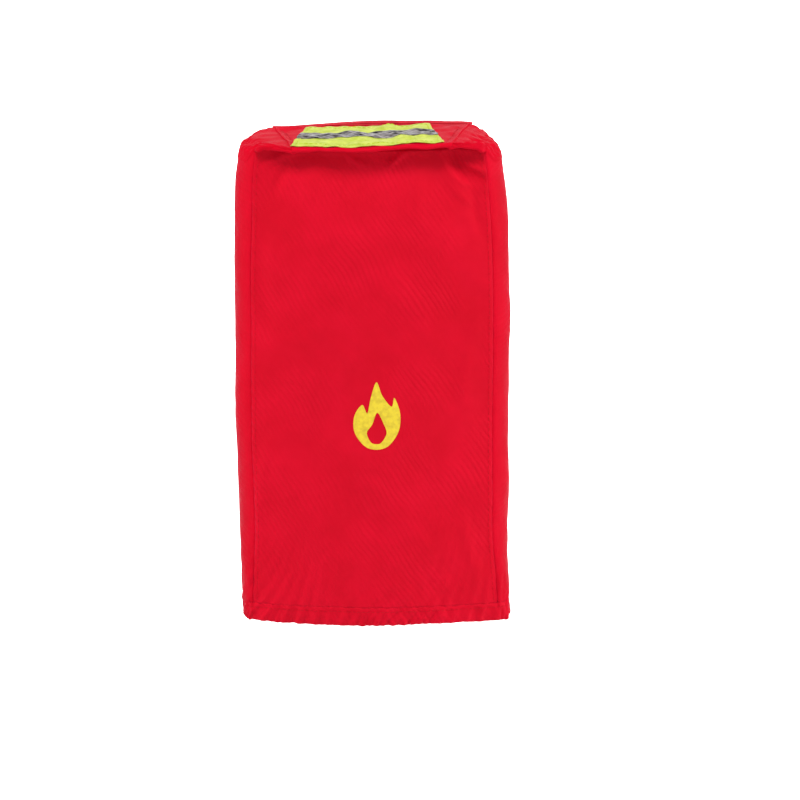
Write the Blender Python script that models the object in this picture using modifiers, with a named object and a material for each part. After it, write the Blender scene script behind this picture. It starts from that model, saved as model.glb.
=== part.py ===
"""Wall-hung soft pouch holding a folded fire blanket.

The pouch is a sewn bag of woven polyester: a flat back, a crowned front and two side gussets,
a lid flap over the top with a corner tuck on each side, and a gathered mouth at the bottom that
the folded glass-fibre blanket is pulled out of by two tapes.

Frame: metres, +Z up. The back lies on the wall in the plane Y = 0, with the wall at +Y, and
the front looks along -Y. The origin is on the back face, halfway up the pouch.
"""

import math

import bpy
from mathutils import Vector

# Driving dimensions
HALF_WIDTH = 0.085        # widest half width, at the bulge of the side gussets
HEIGHT = 0.310
CROWN_DEPTH = 0.058       # depth at the middle of the front
SEAM_DEPTH = 0.0465       # depth at the front seams
SEAM_X = 0.0745           # half the distance between the front seams
BACK_X = 0.0705           # half the width of the flat back
BARREL = 0.022            # share of the width lost at the top and at the mouth
FABRIC = 0.0012           # one wall of the pouch, cloth and lining
GAP = 0.0003              # clearance between neighbours

TOP = HEIGHT / 2
MOUTH = -HEIGHT / 2

# Lid: flap, corner tucks and the tapes on them
FLAP_Z = TOP - 0.003      # upper face of the flap
FLAP_HINGE_Y = -0.0066
FLAP_BACK_X = 0.061
FLAP_FRONT_X = 0.049
FLAP_CROWN_Y = -0.0595    # front of the lip at its middle
FLAP_CORNER_Y = -0.0545   # front of the lip at its ends
LIP_DROP = 0.0075
LIP_RADIUS = 0.0026
TUCK_FRONT_Y = -0.0415
SHOULDER_Z = TOP - 0.0165
HOLLOW_DROP = 0.034       # height of the hollow under the lip
HOLLOW_MID = 0.008
HOLLOW_EDGE = 0.003
FRONT_TOP_Z = TOP - 0.009

# Bands
HEM_HEIGHT = 0.012
HEM_THICKNESS = 0.0036
YOKE_THICKNESS = 0.0018
YOKE_BACK_Y = -0.0016
YOKE_BOTTOM_Z = TOP - 0.046
YOKE_TOP_Z = TOP - 0.0018
YOKE_HALF_WIDTH = 0.066
BACK_TOP_Z = TOP - 0.038
EYELET_X = 0.045
EYELET_Z = TOP - 0.020
EYELET_BORE = 0.0040

# Folded blanket and its pull tapes
PACK_HALF_WIDTH = 0.067
PACK_BACK_Y = -0.0056
PACK_FRONT_Y = -0.0456
PACK_TOP_Z = TOP - 0.012
PACK_BOTTOM_Z = MOUTH + 0.038
PULL_X = 0.040
PULL_WIDTH = 0.022
PULL_THICKNESS = 0.0024
PULL_LENGTH = 0.030

RED = (0.72, 0.012, 0.028)
DARK_RED = (0.52, 0.008, 0.020)
LIME = (0.72, 0.88, 0.07)
SILVER = (0.34, 0.33, 0.38)
BLACK = (0.02, 0.02, 0.022)
WHITE = (0.86, 0.85, 0.80)
BRASS = (0.78, 0.58, 0.25)


# ---------------------------------------------------------------- scene helpers

def clear_scene():
    for obj in list(bpy.data.objects):
        bpy.data.objects.remove(obj, do_unlink=True)


def new_collection(name):
    collection = bpy.data.collections.new(name)
    bpy.context.scene.collection.children.link(collection)
    return collection


def make_material(name, colour, roughness, metallic=0.0):
    material = bpy.data.materials.new(name)
    material.use_nodes = True
    shader = material.node_tree.nodes["Principled BSDF"]
    shader.inputs["Base Color"].default_value = (*colour, 1.0)
    shader.inputs["Roughness"].default_value = roughness
    shader.inputs["Metallic"].default_value = metallic
    return material


def add_object(name, data, colour, roughness=0.7, metallic=0.0):
    """Links a mesh or a curve as one named piece with a material of its own."""
    obj = bpy.data.objects.new(name, data)
    PIECES.objects.link(obj)
    data.materials.append(make_material(name, colour, roughness, metallic))
    return obj


def smooth_step(value, start, end):
    share = min(max((value - start) / (end - start), 0.0), 1.0)
    return share * share * (3 - 2 * share)


def mix(a, b, share):
    return a + (b - a) * share


def spread(start, end, count):
    """Evenly spaced values, both ends included."""
    return [mix(start, end, i / (count - 1)) for i in range(count)]


def move_origin(obj, point):
    """Puts a piece's origin on its joint axis and leaves its mesh where it is."""
    for vertex in obj.data.vertices:
        vertex.co -= Vector(point)
    obj.location = point


# ---------------------------------------------------------------- shape of the pouch

def barrel(z):
    return 1 - BARREL * (2 * z / HEIGHT) ** 2


def front_y(share, z):
    """Outer face of the front; share runs from 0 at the middle to 1 at the seam."""
    across = 1 - share * share
    crown = SEAM_DEPTH + (CROWN_DEPTH - SEAM_DEPTH) * across
    hollow = mix(HOLLOW_EDGE, HOLLOW_MID, across)
    return hollow * smooth_step(z, TOP - HOLLOW_DROP, FRONT_TOP_Z) - crown


def gusset_point(share, z):
    """A cubic curve from the front seam (0) round the side bulge to the back edge (1)."""
    seam_y = front_y(1.0, z)
    corners = (
        (SEAM_X, seam_y),
        (HALF_WIDTH + 0.0038, seam_y + 0.0044),
        (HALF_WIDTH + 0.0046, -0.0120),
        (BACK_X, 0.0),
    )
    rest = 1 - share
    weights = (rest ** 3, 3 * rest ** 2 * share, 3 * rest * share ** 2, share ** 3)
    return tuple(sum(w * c[k] for w, c in zip(weights, corners)) for k in (0, 1))


def outline(station, z):
    """Horizontal outline of the pouch: 0 to 1 front, 1 to 2 gusset, 2 to 3 back.

    A negative station is the same place on the left side.
    """
    place = abs(station)
    if place <= 1:
        x, y = SEAM_X * place, front_y(place, z)
    elif place <= 2:
        x, y = gusset_point(place - 1, z)
    else:
        x, y = BACK_X * (3 - place), 0.0
    return Vector((math.copysign(x * barrel(z), station), y, z))


def inset_point(station, z, inset):
    """A point of the outline moved inwards, square to the wall of the pouch."""
    step = 0.01
    before = outline(max(station - step, -3), z)
    after = outline(min(station + step, 3), z)
    along = (after - before).normalized()
    inward = Vector((-along.y, along.x, 0))
    return outline(station, z) + inward * inset


# ---------------------------------------------------------------- shape helpers

def add_shell(name, rows, thickness, colour, roughness=0.7):
    """An open grid of points made a solid wall; the wall grows away from the face's side."""
    columns = len(rows[0])
    points = [point for row in rows for point in row]
    faces = [
        (r * columns + c, r * columns + c + 1, (r + 1) * columns + c + 1, (r + 1) * columns + c)
        for r in range(len(rows) - 1)
        for c in range(columns - 1)
    ]
    mesh = bpy.data.meshes.new(name)
    mesh.from_pydata(points, [], faces)
    mesh.shade_smooth()
    obj = add_object(name, mesh, colour, roughness)
    solidify = obj.modifiers.new("Solidify", "SOLIDIFY")
    solidify.thickness = thickness
    solidify.offset = -1
    solidify.use_even_offset = True
    return obj


def add_ring(name, stations, profile, colour, roughness=0.7):
    """Sweeps a closed profile of (inset, height) pairs right round the pouch."""
    count, sides = len(stations), len(profile)
    points = [inset_point(s, z, inset) for s in stations for inset, z in profile]
    faces = []
    for i in range(count):
        for j in range(sides):
            after, beside = (i + 1) % count, (j + 1) % sides
            faces.append((i * sides + j, after * sides + j,
                          after * sides + beside, i * sides + beside))
    mesh = bpy.data.meshes.new(name)
    mesh.from_pydata(points, [], faces)
    return add_object(name, mesh, colour, roughness)


def add_block(name, low, high, colour, roughness=0.7, rounding=0.0, segments=2):
    """A box between two corners, with rounded edges if a radius is given."""
    size = Vector(high) - Vector(low)
    middle = (Vector(high) + Vector(low)) / 2
    bpy.ops.mesh.primitive_cube_add(size=1)
    obj = bpy.context.object
    for collection in list(obj.users_collection):
        collection.objects.unlink(obj)
    PIECES.objects.link(obj)
    obj.name = obj.data.name = name
    for vertex in obj.data.vertices:
        vertex.co = middle + vertex.co * size
    obj.data.materials.append(make_material(name, colour, roughness))
    if rounding:
        bevel = obj.modifiers.new("Bevel", "BEVEL")
        bevel.width = rounding
        bevel.segments = segments
    return obj


def circle_points(centre_x, centre_z, radius, count=24):
    angles = [2 * math.pi * i / count for i in range(count)]
    return [(centre_x + radius * math.cos(a), centre_z + radius * math.sin(a)) for a in angles]


def add_plate(name, loops, y_front, y_back, colour, roughness=0.7):
    """A flat plate standing in the XZ plane: an outline, then any holes."""
    curve = bpy.data.curves.new(name, "CURVE")
    curve.dimensions = "2D"
    curve.fill_mode = "BOTH"
    curve.extrude = (y_back - y_front) / 2
    for loop in loops:
        spline = curve.splines.new("POLY")
        spline.points.add(len(loop) - 1)
        spline.use_cyclic_u = True
        for point, (x, z) in zip(spline.points, loop):
            point.co = (x, z, 0, 1)
    obj = add_object(name, curve, colour, roughness)
    obj.location.y = (y_front + y_back) / 2
    obj.rotation_euler.x = math.pi / 2
    return obj


def add_turned(name, profile, location, colour, roughness, metallic):
    """Turns a closed (radius, y) profile about an axis along Y."""
    mesh = bpy.data.meshes.new(name)
    points = [(radius, 0, depth) for radius, depth in profile]
    edges = [(i, (i + 1) % len(points)) for i in range(len(points))]
    mesh.from_pydata(points, edges, [])
    obj = add_object(name, mesh, colour, roughness, metallic)
    obj.location = location
    obj.rotation_euler.x = math.pi / 2
    screw = obj.modifiers.new("Screw", "SCREW")
    screw.steps = screw.render_steps = 24
    screw.use_merge_vertices = True
    screw.merge_threshold = 0.0001
    screw.use_normal_calculate = True
    return obj


# ---------------------------------------------------------------- walls of the pouch

def add_wall(name, stations, bottom, top, rows, inset=0.0, thickness=FABRIC, colour=RED):
    heights = spread(bottom, top, rows)
    grid = [[inset_point(s, z, inset) for s in stations] for z in heights]
    return add_shell(name, grid, thickness, colour)


def add_pouch_walls():
    edge = 0.006                                # share of a wall left clear beside a seam
    above_hem = MOUTH + HEM_HEIGHT + GAP
    add_wall("front_panel", spread(edge - 1, 1 - edge, 17), above_hem, FRONT_TOP_Z, 15)
    for side, sign in (("left", -1), ("right", 1)):
        stations = sorted(sign * s for s in spread(1 + edge, 2 - edge, 11))
        add_wall(f"{side}_gusset", stations, above_hem, SHOULDER_Z, 12)
        stations = sorted(sign * s for s in spread(0.94, 1.14, 5))
        add_wall(f"{side}_seam_tape", stations, above_hem, SHOULDER_Z - GAP, 10,
                 inset=FABRIC + GAP, thickness=0.0007, colour=DARK_RED)
    back_half = (BACK_X - 0.0016) * barrel(TOP)
    middle_half = BACK_X - 0.0016
    outline_points = [
        (side * mix(back_half, middle_half, math.sin(math.pi * share)),
         mix(above_hem, BACK_TOP_Z, share if side > 0 else 1 - share))
        for side in (1, -1)
        for share in spread(0, 1, 7)
    ]
    add_plate("back_panel", [outline_points], -FABRIC, 0.0, RED)


def add_hem():
    """The mouth's tunnel, open along its top inside edge, with the elastic in it."""
    wall = FABRIC
    stations = spread(-3, 3, 61)[:-1]
    low, high = MOUTH, MOUTH + HEM_HEIGHT
    tunnel = [
        (0, low), (0, high), (wall, high), (wall, low + wall),
        (HEM_THICKNESS - wall, low + wall), (HEM_THICKNESS - wall, high - 0.001),
        (HEM_THICKNESS, high - 0.001), (HEM_THICKNESS, low),
    ]
    add_ring("mouth_hem", stations, tunnel, RED)
    outer, inner = wall + GAP, HEM_THICKNESS - wall - GAP
    bottom, top = low + wall + GAP, high - 0.0016
    band = [(outer, bottom), (outer, top), (inner, top), (inner, bottom)]
    add_ring("mouth_elastic", stations, band, WHITE)


def add_yoke():
    """The doubled strip along the top of the back that carries the eyelets."""
    front = YOKE_BACK_Y - YOKE_THICKNESS
    half = YOKE_HALF_WIDTH
    sheet = [(-half, YOKE_BOTTOM_Z), (half, YOKE_BOTTOM_Z), (half, YOKE_TOP_Z), (-half, YOKE_TOP_Z)]
    holes = [circle_points(side * EYELET_X, EYELET_Z, EYELET_BORE + 0.0012) for side in (-1, 1)]
    add_plate("back_yoke", [sheet, *holes], front, YOKE_BACK_Y, DARK_RED)
    for side, sign in (("left", -1), ("right", 1)):
        add_eyelet(f"{side}_eyelet", sign * EYELET_X)
    add_yoke_binding(front)


def add_eyelet(name, x):
    """A brass eyelet pressed through the yoke, its bore open from side to side."""
    bore, barrel_radius, flange = EYELET_BORE, EYELET_BORE + 0.0009, EYELET_BORE + 0.0042
    rear_face = -0.0004
    rear_seat = YOKE_BACK_Y + GAP
    front_seat = YOKE_BACK_Y - YOKE_THICKNESS - GAP
    front_face = front_seat - 0.0009
    lip = 0.0005
    profile = [
        (bore, -front_face), (flange - lip, -front_face), (flange, -front_face - lip),
        (flange, -front_seat), (barrel_radius, -front_seat), (barrel_radius, -rear_seat),
        (flange, -rear_seat), (flange, -rear_face - lip + 0.0001), (flange - lip, -rear_face),
        (bore, -rear_face),
    ]
    add_turned(name, profile, (x, 0, EYELET_Z), BRASS, 0.3, 1.0)


def add_yoke_binding(yoke_front):
    """Tape folded over the raw top edge of the yoke."""
    thickness = 0.0008
    outer_front, outer_back = yoke_front - GAP - thickness, -0.0005
    inner_front, inner_back = yoke_front - GAP, YOKE_BACK_Y + GAP
    bottom, top = TOP - 0.010, TOP
    inner_top = YOKE_TOP_Z + GAP
    profile = [
        (outer_front, bottom), (outer_front, top - 0.0008), (outer_front + 0.001, top),
        (outer_back - 0.001, top), (outer_back, top - 0.0008), (outer_back, bottom),
        (inner_back, bottom), (inner_back, inner_top), (inner_front, inner_top),
        (inner_front, bottom),
    ]
    curve = bpy.data.curves.new("yoke_binding", "CURVE")
    curve.dimensions = "2D"
    curve.fill_mode = "BOTH"
    curve.extrude = YOKE_HALF_WIDTH
    spline = curve.splines.new("POLY")
    spline.points.add(len(profile) - 1)
    spline.use_cyclic_u = True
    for point, (y, z) in zip(spline.points, profile):
        point.co = (y, z, 0, 1)
    obj = add_object("yoke_binding", curve, DARK_RED)
    obj.rotation_euler = (math.pi / 2, 0, math.pi / 2)


# ---------------------------------------------------------------- lid

def flap_front_y(x):
    return mix(FLAP_CROWN_Y, FLAP_CORNER_Y, (x / FLAP_FRONT_X) ** 2)


def flap_half_width(y):
    share = (y - FLAP_HINGE_Y) / (FLAP_CORNER_Y - FLAP_HINGE_Y)
    return mix(FLAP_BACK_X, FLAP_FRONT_X, min(share, 1.0))


def add_flap():
    """A trapezoid sheet hinged at the back, with its front edge rolled down as a lip."""
    across = spread(-1, 1, 15)
    rows = []
    for share in spread(0, 1, 6):
        row = []
        for a in across:
            x_front = a * FLAP_FRONT_X
            y = mix(FLAP_HINGE_Y, flap_front_y(x_front) + LIP_RADIUS, share)
            row.append(Vector((a * flap_half_width(y), y, FLAP_Z)))
        rows.append(row)
    for angle in spread(0, math.pi / 2, 4)[1:]:
        rows.append([
            Vector((a * FLAP_FRONT_X,
                    flap_front_y(a * FLAP_FRONT_X) + LIP_RADIUS * (1 - math.sin(angle)),
                    FLAP_Z - LIP_RADIUS * (1 - math.cos(angle))))
            for a in across
        ])
    rows.append([Vector((p.x, p.y, FLAP_Z - LIP_DROP)) for p in rows[-1]])
    rows.reverse()
    flap = add_shell("top_flap", rows, FABRIC, RED)
    move_origin(flap, (0, FLAP_HINGE_Y, FLAP_Z))


def lid_strip(name, far, near, half_far, half_near, bottom, thickness, colour, roughness=0.6):
    """A flat strip on the flap, between two shares of the flap's depth."""
    rows = []
    for share in spread(far, near, 4):
        half = mix(half_far, half_near, (share - far) / (near - far))
        row = []
        for x in spread(-half, half, 11):
            y = mix(FLAP_HINGE_Y, flap_front_y(x) + LIP_RADIUS, share)
            row.append(Vector((x, y, bottom + thickness)))
        rows.append(row)
    rows.reverse()
    strip = add_shell(name, rows, thickness, colour, roughness)
    move_origin(strip, (0, FLAP_HINGE_Y, FLAP_Z))


def add_lid_tapes():
    far, near = 0.045, 0.99
    half_far, half_near = 0.038, 0.047

    def half_at(share):
        return mix(half_far, half_near, (share - far) / (near - far))

    tape_bottom = FLAP_Z + GAP
    tape_thickness = 0.0006
    lid_strip("hi_vis_tape", far, near, half_far, half_near, tape_bottom, tape_thickness, LIME)
    stripe = (0.34, 0.60)
    lid_strip("reflective_stripe", *stripe, *map(half_at, stripe),
              tape_bottom + tape_thickness + GAP, 0.0004, SILVER, 0.3)


def add_closure():
    """Hook strip under the flap and loop strip on the folded-in top of the front panel."""
    half, y_low, y_high = 0.038, -0.0475, -0.0315
    strip = 0.001
    hook_top = FLAP_Z - FABRIC - GAP
    hook_bottom = hook_top - strip
    loop_top = hook_bottom - GAP
    loop_bottom = loop_top - strip
    tuck_top = loop_bottom - GAP
    hook = add_block("hook_strip", (-half, y_low, hook_bottom), (half, y_high, hook_top), BLACK)
    move_origin(hook, (0, FLAP_HINGE_Y, FLAP_Z))
    add_block("loop_strip", (-half, y_low, loop_bottom), (half, y_high, loop_top), BLACK)
    rows = [
        [Vector((a * SEAM_X * barrel(TOP), mix(front_y(a, FRONT_TOP_Z), -0.030, depth), tuck_top))
         for a in spread(-0.80, 0.80, 13)]
        for depth in (0, 0.5, 1)
    ]
    add_shell("front_tuck", rows, FABRIC, RED)


def add_corner_tucks():
    """The folded corners beside the flap, from its slanted edge out to the shoulder."""
    hinge_x = HALF_WIDTH * barrel(SHOULDER_Z)
    for side, sign in (("left", -1), ("right", 1)):
        rows = []
        for y in spread(FLAP_HINGE_Y - 0.0009, TUCK_FRONT_Y, 9):
            outer = shoulder_x(y)
            inner = flap_half_width(y) + 0.0008
            row = []
            for angle in spread(0, math.pi / 2, 8):
                x = mix(outer, inner, 1 - math.cos(angle))
                z = mix(SHOULDER_Z + GAP, FLAP_Z, math.sin(angle))
                row.append(Vector((sign * x, y, z)))
            rows.append(row)
        if sign > 0:
            rows.reverse()
        tuck = add_shell(f"{side}_corner_tuck", rows, FABRIC, RED)
        move_origin(tuck, (sign * hinge_x, 0, SHOULDER_Z))


def shoulder_x(y):
    """Outer half width of the pouch at the shoulder, for a depth y."""
    shares = spread(0, 1, 81)
    points = [gusset_point(share, SHOULDER_Z) for share in shares]
    nearest = min(points, key=lambda point: abs(point[1] - y))
    return nearest[0] * barrel(SHOULDER_Z)


# ---------------------------------------------------------------- blanket

def add_blanket():
    add_block("folded_blanket", (-PACK_HALF_WIDTH, PACK_FRONT_Y, PACK_BOTTOM_Z),
              (PACK_HALF_WIDTH, PACK_BACK_Y, PACK_TOP_Z), WHITE, 0.9, rounding=0.009, segments=4)
    middle_y = (PACK_FRONT_Y + PACK_BACK_Y) / 2
    patch_top = PACK_BOTTOM_Z - GAP
    patch_bottom = patch_top - 0.001
    hinge_z = patch_bottom - GAP - PULL_THICKNESS / 2
    for side, sign in (("left", -1), ("right", 1)):
        x = sign * PULL_X
        add_block(f"{side}_tape_patch", (x - 0.016, middle_y - 0.010, patch_bottom),
                  (x + 0.016, middle_y + 0.010, patch_top), WHITE)
        add_pull_tape(f"{side}_pull_tape", x, middle_y, hinge_z)


def add_pull_tape(name, x, y, hinge_z):
    """A doubled webbing tab with a rounded free end, hung from the blanket's edge."""
    tip = hinge_z - PULL_LENGTH
    tape = add_block(name, (x - PULL_WIDTH / 2, y - PULL_THICKNESS / 2, tip),
                     (x + PULL_WIDTH / 2, y + PULL_THICKNESS / 2, hinge_z + PULL_THICKNESS / 2),
                     BLACK, rounding=PULL_THICKNESS / 2.2, segments=3)
    move_origin(tape, (x, y, hinge_z))


clear_scene()
PIECES = new_collection("fire_blanket_pouch")
add_pouch_walls()
add_hem()
add_yoke()
add_flap()
add_lid_tapes()
add_closure()
add_corner_tucks()
add_blanket()
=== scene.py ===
"""Looks of the wall-hung pouch and its folded fire blanket.

Metres, +Z up, wall at Y = 0 and front towards -Y, as in the frame. The walls of the pouch are
one smooth surface, run through by an outline station and a height, with its gathers and creases
added square to the wall. Each wall, the lid and the tapes are cut from it as pieces of cloth.
"""
import math

import bmesh
import bpy
import numpy as np
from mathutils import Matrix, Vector


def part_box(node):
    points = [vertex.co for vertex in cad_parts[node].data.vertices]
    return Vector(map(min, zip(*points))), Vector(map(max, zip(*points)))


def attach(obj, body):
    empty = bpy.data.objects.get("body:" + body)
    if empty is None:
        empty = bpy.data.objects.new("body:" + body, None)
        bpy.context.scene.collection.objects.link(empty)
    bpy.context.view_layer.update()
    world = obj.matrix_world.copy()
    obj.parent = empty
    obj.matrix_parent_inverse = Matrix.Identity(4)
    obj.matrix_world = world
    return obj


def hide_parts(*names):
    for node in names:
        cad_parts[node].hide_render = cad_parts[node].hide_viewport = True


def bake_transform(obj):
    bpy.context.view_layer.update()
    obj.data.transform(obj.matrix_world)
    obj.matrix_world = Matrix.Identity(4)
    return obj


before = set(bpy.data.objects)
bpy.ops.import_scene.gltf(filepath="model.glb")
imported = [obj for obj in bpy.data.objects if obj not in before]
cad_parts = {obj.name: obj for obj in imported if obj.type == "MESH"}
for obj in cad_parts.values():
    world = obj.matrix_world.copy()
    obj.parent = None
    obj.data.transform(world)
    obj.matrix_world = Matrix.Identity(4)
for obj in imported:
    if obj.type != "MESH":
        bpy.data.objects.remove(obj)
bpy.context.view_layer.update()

# Sizes that the frame gives
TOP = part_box("yoke_binding")[1][2]
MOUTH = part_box("mouth_hem")[0][2]
HEM_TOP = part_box("mouth_hem")[1][2]
HALF_WIDTH = 0.085
SEAM_X = 0.0745
BACK_X = 0.0705
SEAM_DEPTH = 0.0465
CROWN_DEPTH = -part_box("mouth_hem")[0][1]
HEM_THICKNESS = 0.0036

FLAP_Z = TOP - 0.0027
FLAP_FALL = 0.0026  # drop from the flap's back to its lip
FLAP_CLOTH = 0.0008
FLAP_BACK_Y = -0.0049
FLAP_BACK_X = 0.061
FLAP_FRONT_X = 0.049
LIP_CROWN_Y = -0.0612
LIP_SEAM_Y = -0.0472
LIP_RADIUS = 0.0014
FRONT_TOP = TOP - 0.0092
JOINT_Z = TOP - 0.0165
CLOTH = 0.0009
INSIDE = (0, -0.028, 0)
INSIDE_HEM = (0, -0.028, MOUTH + 0.006)


# ---------------------------------------------------------------- small maths

def step(value, start, end):
    share = np.clip((value - start) / (end - start), 0, 1)
    return share * share * (3 - 2 * share)


def mix(a, b, share):
    return a + (b - a) * share


def ripple(u, v, wavelength, seed, waves=6, stretch=1.0):
    """Smooth, seamless unevenness of about unit height, the same on every run."""
    random = np.random.default_rng(seed)
    total = 0.0
    for _ in range(waves):
        angle = random.uniform(0, math.pi)
        pitch = 2 * math.pi / (wavelength * random.uniform(0.65, 1.5))
        bend = 0.35 * wavelength * np.sin(v * pitch * 0.37 + random.uniform(0, 6))
        along = (u + bend) * math.cos(angle) + v * math.sin(angle) / stretch
        total = total + np.sin(along * pitch + random.uniform(0, 6))
    return total / math.sqrt(waves)


def crease(u, v, start, end, width, height):
    """A fold that runs from one point to another and fades out at both."""
    start, end = np.array(start), np.array(end)
    along = end - start
    length = np.linalg.norm(along)
    du, dv = u - start[0], v - start[1]
    share = (du * along[0] + dv * along[1]) / length ** 2
    aside = (du * along[1] - dv * along[0]) / length
    fade = np.sin(math.pi * np.clip(share, 0, 1)) ** 0.7
    bow = aside + 0.06 * length * np.sin(math.pi * np.clip(share, 0, 1))
    return height * fade * np.exp(-(bow / width) ** 2)


# ---------------------------------------------------------------- walls of the pouch

def taper(z, side):
    """Share of the full width at a height: the right side narrows upwards, the left downwards."""
    upper = np.clip((z - 0.030) / (JOINT_Z - 0.030), 0, 1.05)
    lower = np.clip((-z - 0.035) / 0.120, 0, 1)
    right = 0.998 - 0.068 * upper ** 2.8
    left = 1.005 - 0.008 * step(z, 0.070, 0.100) - 0.030 * upper ** 6 - 0.057 * lower ** 1.3
    return np.where(side >= 0, right, left)


def front_depth(share, z):
    across = 1 - share ** 2
    crown = SEAM_DEPTH + (CROWN_DEPTH - SEAM_DEPTH) * across
    hollow = 0.0012 + 0.0078 * (1 - share ** 6)
    return hollow * np.clip((z - TOP + 0.075) / 0.062, 0, 1) ** 2 - crown


def outline(station, z):
    """Plan of the pouch: 0 to 1 front, 1 to 2 gusset, 2 to 3 back; negative is the left side."""
    place = np.abs(station)
    front, gusset, back = np.clip(place, 0, 1), np.clip(place - 1, 0, 1), np.clip(3 - place, 0, 1)
    seam_y = front_depth(np.ones_like(place), z)
    rest = 1 - gusset
    boxy = step(z, -0.085, MOUTH)
    weights = (rest ** 3, 3 * rest ** 2 * gusset, 3 * rest * gusset ** 2, gusset ** 3)
    seam_x = SEAM_X + 0.0042 * boxy
    bend_x = (seam_x, HALF_WIDTH + 0.0038 + 0.0012 * boxy, HALF_WIDTH + 0.0046 - 0.0012 * boxy, BACK_X)
    bend_y = (seam_y, seam_y + 0.0044 * (1 - boxy), -0.0120 + 0 * z, 0 * z)
    gusset_x = sum(w * x for w, x in zip(weights, bend_x))
    gusset_y = sum(w * y for w, y in zip(weights, bend_y))
    x = np.where(place <= 1, seam_x * front, np.where(place <= 2, gusset_x, BACK_X * back))
    y = np.where(place <= 1, front_depth(front, z), np.where(place <= 2, gusset_y, 0))
    side = np.where(station < 0, -1.0, 1.0)
    return x * side * taper(z, side), y


def outward(station, z):
    """Direction out of the wall, level with the ground."""
    x0, y0 = outline(station - 0.01, z)
    x1, y1 = outline(station + 0.01, z)
    length = np.hypot(x1 - x0, y1 - y0) + 1e-12
    return (y1 - y0) / length, -(x1 - x0) / length


def around(station):
    """Distance along the outline from the middle of the front."""
    place = np.abs(station)
    length = (0.0756 * np.clip(place, 0, 1) + 0.0530 * np.clip(place - 1, 0, 1)
              + 0.0705 * np.clip(place - 2, 0, 1))
    return length * np.sign(station)


# Folds of the front, as (x, distance below the top), start to end, then width and height
FRONT_FOLDS = [
    ((-0.018, 0.0105), (-0.001, 0.0200), 0.0016, 0.0010),
    ((0.024, 0.0105), (0.010, 0.0200), 0.0016, 0.0010),
    ((0.044, 0.008), (0.062, 0.034), 0.0030, 0.0016),
    ((0.048, 0.009), (0.075, 0.030), 0.0050, -0.0016),
    ((0.056, 0.014), (0.079, 0.025), 0.0022, 0.0013),
    ((0.046, 0.020), (0.064, 0.044), 0.0030, 0.0008),
    ((0.066, 0.026), (0.071, 0.068), 0.0034, -0.0006),
    ((-0.046, 0.010), (-0.071, 0.021), 0.0026, 0.0010),
    ((-0.050, 0.013), (-0.062, 0.040), 0.0034, -0.0007),
    ((-0.040, 0.014), (-0.030, 0.052), 0.0050, 0.0006),
    ((0.034, 0.016), (0.030, 0.060), 0.0050, 0.0005),
    ((-0.068, 0.060), (-0.060, 0.130), 0.0050, -0.0006),
    ((0.066, 0.110), (0.060, 0.190), 0.0055, 0.0005),
    ((-0.064, 0.190), (-0.070, 0.280), 0.0040, 0.0006),
    ((0.058, 0.235), (0.069, 0.290), 0.0040, 0.0006),
]


def gathers(u, height, seed=3):
    """Puckers drawn up by the elastic: fine at the hem and gone a few centimetres above it."""
    lean = u - (0.55 + 0.35 * np.sin(u * 60)) * height
    fine = (np.sin(lean * 2 * math.pi / 0.0049 + 1.5 * np.sin(u * 210))
            * (0.65 + 0.35 * np.sin(u * 67 + 1)))
    broad = np.sin(lean * 2 * math.pi / 0.0105 + 1.2 * np.sin(u * 75 + 2))
    small = ripple(u, height, 0.0075, seed, stretch=2.5)
    near = np.exp(-(height / 0.0085) ** 1.5)
    far = np.exp(-height / 0.026)
    return 0.00075 * fine * near + 0.00046 * broad * far + 0.00034 * small * far


def relief(station, z):
    """Height of the cloth over the smooth wall."""
    u, below, above = around(station), TOP - z, z - MOUTH
    place = np.abs(station)
    height = gathers(u, above)
    height = height + 0.00050 * ripple(u, z, 0.060, 11, stretch=1.6)
    height = height + 0.00016 * ripple(u, z, 0.017, 12, stretch=2.2)
    on_front = step(place, 1.02, 0.96)
    for start, end, width, size in FRONT_FOLDS:
        height = height + on_front * crease(u, below, start, end, width, 1.5 * size)
    from_seam = np.abs(place - 1) * 0.065
    height = height - 0.00030 * np.exp(-(from_seam / 0.0010) ** 2)
    pucker = np.sin(z * 2 * math.pi / 0.011 + 2 * np.sin(z * 61)) * np.exp(-from_seam / 0.006)
    height = height + 0.00012 * pucker
    back_edge = np.abs(place - 2) * 0.055
    return height * step(place, 2.25, 1.9) + 0.0003 * np.exp(-(back_edge / 0.002) ** 2)


def wall(station, z, inset=0.0, uneven=1.0):
    """Points of the cloth, as an array whose last axis is x, y, z."""
    station, z = np.broadcast_arrays(np.asarray(station, float), np.asarray(z, float))
    x, y = outline(station, z)
    nx, ny = outward(station, z)
    out = relief(station, z) * uneven - inset
    return np.stack([x + nx * out, np.minimum(y + ny * out, -0.0001), z + 0 * x], axis=-1)


# ---------------------------------------------------------------- mesh helpers

def link(name, mesh, material, body):
    obj = bpy.data.objects.new(name, mesh)
    bpy.context.scene.collection.objects.link(obj)
    mesh.materials.append(material)
    if body:
        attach(obj, body)
    return obj


def grid_mesh(name, points, away_from, round_rows=False):
    """A sheet through a grid of points, facing away from a point."""
    rows, columns = points.shape[:2]
    index = np.arange(rows * columns).reshape(rows, columns)
    if round_rows:
        index = np.vstack([index, index[:1]])
    faces = np.stack([index[:-1, :-1], index[:-1, 1:], index[1:, 1:], index[1:, :-1]], axis=-1)
    faces = faces.reshape(-1, 4)
    flat = points.reshape(-1, 3)
    a, b, c = (flat[faces[:, k]] for k in (0, 1, 2))
    facing = np.cross(b - a, c - b) * (a - np.asarray(away_from))
    if facing.sum() < 0:
        faces = faces[:, ::-1]
    mesh = bpy.data.meshes.new(name)
    mesh.from_pydata(flat.tolist(), [], faces.tolist())
    mesh.shade_smooth()
    return mesh


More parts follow.
